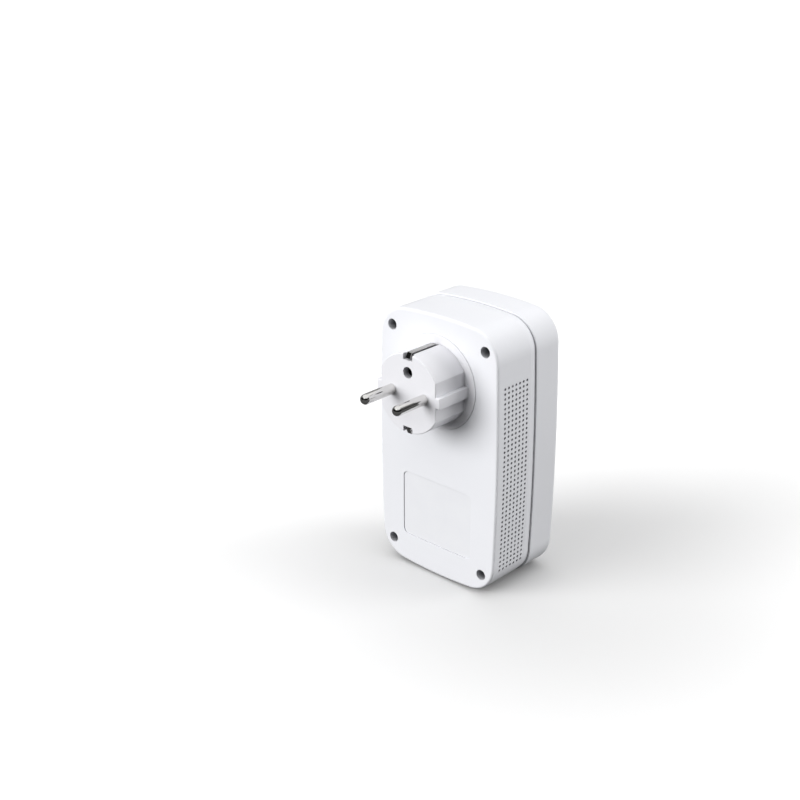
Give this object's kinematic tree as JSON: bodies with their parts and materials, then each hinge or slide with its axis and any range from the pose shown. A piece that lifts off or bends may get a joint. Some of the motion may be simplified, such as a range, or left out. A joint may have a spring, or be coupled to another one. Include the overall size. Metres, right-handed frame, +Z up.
{
  "type": "plug-through powerline network adapter",
  "caption": "Upright wall-plug network adapter with a rear mains plug, a front pass-through socket, side vents, a network jack below and a pair button.",
  "frame": {"origin": "midway between the two plug pins, on the plug's flat face", "axes": "+Y out of the plug's face towards the wall socket, +Z up the long side of the case, the pass-through socket and the lights face -Y"},
  "size_m": [0.072, 0.0832, 0.131],
  "materials": {
    "case_white": "satin moulded ABS, slightly cool white",
    "button_white": "satin moulded ABS",
    "plug_white": "satin moulded polyamide",
    "label_film": "blank matt polyester film",
    "zinc_steel": "zinc-plated steel",
    "nickel_brass": "bright nickel plate on brass",
    "tinned_bronze": "tin-plated spring bronze",
    "brass_strip": "stamped brass",
    "carrier_grey": "moulded glass-filled polyamide",
    "shutter_white": "moulded acetal",
    "spring_steel": "drawn spring wire",
    "board_green": "solder-masked glass-epoxy board",
    "black_plastic": "moulded epoxy or thermoplastic",
    "varistor_blue": "dipped epoxy",
    "capacitor_yellow": "potted box capacitor",
    "capacitor_sleeve": "shrunk sleeve over an aluminium can",
    "ferrite": "sintered ferrite",
    "enamelled_copper": "enamelled copper wire",
    "aluminium_fins": "extruded aluminium",
    "tinned_steel": "tin-plated steel sheet",
    "gold_contacts": "gold-flashed contact wire",
    "led_body": "surface-mount light package",
    "clear_acrylic": "clear moulded acrylic",
    "sheet_film": "insulating polyester sheet"
  },
  "bodies": {
    "case": {"board_header": "black_plastic", "bridge_rectifier": "black_plastic", "bulk_capacitors": "capacitor_sleeve", "choke_core": "ferrite", "choke_windings": "enamelled_copper", "contact_carrier": "carrier_grey", "coupling_transformer": "ferrite", "earth_ring": "tinned_bronze", "front_cover": "case_white", "heat_sink": "aluminium_fins", "housing_screws": "zinc_steel", "insulating_sheet": "sheet_film", "jack_bezel": "case_white", "jack_contacts": "gold_contacts", "jack_housing": "black_plastic", "jack_shield": "tinned_steel", "lan_transformer": "black_plastic", "light_guide": "clear_acrylic", "line_busbar": "brass_strip", "line_driver_chip": "black_plastic", "line_pin": "nickel_brass", "line_socket_contact": "brass_strip", "main_board": "board_green", "main_board_screws": "zinc_steel", "mains_fuse": "black_plastic", "memory_chip": "black_plastic", "neutral_busbar": "brass_strip", "neutral_pin": "nickel_brass", "neutral_socket_contact": "brass_strip", "output_capacitor": "capacitor_sleeve", "plug_body": "plug_white", "plug_earth_clip_bottom": "tinned_bronze", "plug_earth_clip_top": "tinned_bronze", "plug_earth_sleeve": "tinned_bronze", "power_board": "board_green", "power_board_screws": "zinc_steel", "processor_chip": "black_plastic", "quartz_crystal": "tinned_steel", "rating_label": "label_film", "rear_housing": "case_white", "shutter_spring": "spring_steel", "socket_earth_blade_bottom": "tinned_bronze", "socket_earth_blade_top": "tinned_bronze", "socket_insert": "plug_white", "status_leds": "led_body", "surge_varistor": "varistor_blue", "switch_base": "black_plastic", "switching_chip": "black_plastic", "transformer_bobbin": "black_plastic", "transformer_core": "ferrite", "x2_capacitor": "capacitor_yellow"},
    "pair_button": {"pair_button": "button_white"},
    "switch_plunger": {"switch_plunger": "shutter_white"},
    "socket_shutter": {"socket_shutter": "shutter_white"}
  },
  "joints": [
    {"name": "pair_button_press", "type": "slide", "parent": "case", "child": "pair_button", "axis": [0, 1, 0], "range_m": [0, 0.00025], "stiffness_N_per_m": 4000},
    {"name": "switch_plunger_press", "type": "slide", "parent": "case", "child": "switch_plunger", "axis": [0, 1, 0], "range_m": [0, 0.00025]},
    {"name": "shutter_turn", "type": "hinge", "parent": "case", "child": "socket_shutter", "pos_m": [0, -0.0428, 0], "axis": [0, 1, 0], "range_deg": [0, 36], "stiffness_Nm_per_rad": 0.004, "springref_deg": -11.46}
  ],
  "couplings": [
    {"joint": "switch_plunger_press", "follows": "pair_button_press", "ratio": 1}
  ]
}
